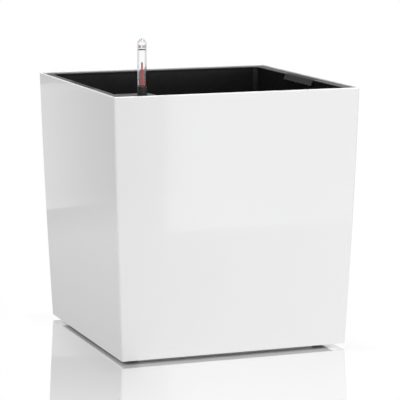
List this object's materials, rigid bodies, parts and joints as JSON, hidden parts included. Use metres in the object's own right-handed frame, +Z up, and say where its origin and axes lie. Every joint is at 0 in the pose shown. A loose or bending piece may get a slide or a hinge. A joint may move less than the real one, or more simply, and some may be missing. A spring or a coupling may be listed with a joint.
{
  "type": "self watering planter",
  "caption": "Cube planter with a glossy tapered shell, lift-out liner with retractable handles, corner filling shaft with flip-up lid, and float water level indicator.",
  "frame": {"origin": "centre of the base, at floor level", "axes": "+Z up, +Y from the front face to the back, +X to the right seen from the front"},
  "size_m": [0.39, 0.39, 0.4836],
  "materials": {
    "gloss_white_shell": "high gloss white lacquer",
    "black_liner": "satin moulded black",
    "black_moulding": "plain moulded black",
    "black_handle": "satin moulded black",
    "black_tube": "satin moulded black",
    "black_rubber": "matt rubber",
    "clear_sight_tube": "clear polished plastic",
    "red_marker": "red plastic",
    "white_float": "closed cell float",
    "hinge_steel": "drawn wire"
  },
  "bodies": {
    "planter": {"outer_planter": "gloss_white_shell"},
    "drain_seal": {"drain_seal": "black_rubber"},
    "drain_plug": {"drain_plug": "black_moulding"},
    "liner": {"planter_liner": "black_liner", "separator_plate": "black_moulding", "soak_basket_1": "black_moulding", "soak_basket_2": "black_moulding", "soak_basket_3": "black_moulding", "soak_basket_4": "black_moulding", "water_supply_shaft": "black_moulding", "shaft_cover": "black_liner", "lid_pin": "hinge_steel", "indicator_bush": "black_rubber"},
    "filler_lid": {"filler_lid": "black_liner"},
    "handle_left": {"handle_left": "black_handle", "handle_clip_left_front": "black_moulding", "handle_clip_left_back": "black_moulding"},
    "handle_right": {"handle_right": "black_handle", "handle_clip_right_front": "black_moulding", "handle_clip_right_back": "black_moulding"},
    "indicator": {"guide_tube": "black_tube", "guide_tube_end_cap": "black_moulding", "sight_tube": "clear_sight_tube"},
    "float": {"float_body": "white_float", "float_stem": "black_moulding", "level_marker": "red_marker", "marker_tip": "red_marker"}
  },
  "joints": [
    {"name": "liner_lift", "type": "slide", "parent": "planter", "child": "liner", "axis": [0, 0, 1], "range_m": [0, 0.42]},
    {"name": "drain_plug_turn", "type": "hinge", "parent": "drain_seal", "child": "drain_plug", "pos_m": [0, 0, 0.0153], "axis": [0, 0, 1], "range_deg": [0, 1080]},
    {"name": "drain_plug_rise", "type": "slide", "parent": "planter", "child": "drain_seal", "axis": [0, 0, 1], "range_m": [0, 0.012]},
    {"name": "handle_left_pull", "type": "slide", "parent": "liner", "child": "handle_left", "axis": [0, 0, 1], "range_m": [0, 0.073]},
    {"name": "handle_right_pull", "type": "slide", "parent": "liner", "child": "handle_right", "axis": [0, 0, 1], "range_m": [0, 0.073]},
    {"name": "filler_lid_open", "type": "hinge", "parent": "liner", "child": "filler_lid", "pos_m": [-0.1629, -0.149, 0.3982], "axis": [-1, 0, 0], "range_deg": [0, 95]},
    {"name": "indicator_pull", "type": "slide", "parent": "liner", "child": "indicator", "axis": [0, 0, 1], "range_m": [0, 0.4]},
    {"name": "float_rise", "type": "slide", "parent": "indicator", "child": "float", "axis": [0, 0, 1], "range_m": [-0.032, 0.022]}
  ],
  "couplings": [
    {"joint": "drain_plug_rise", "follows": "drain_plug_turn", "m_per_rad": 0.00063662}
  ]
}
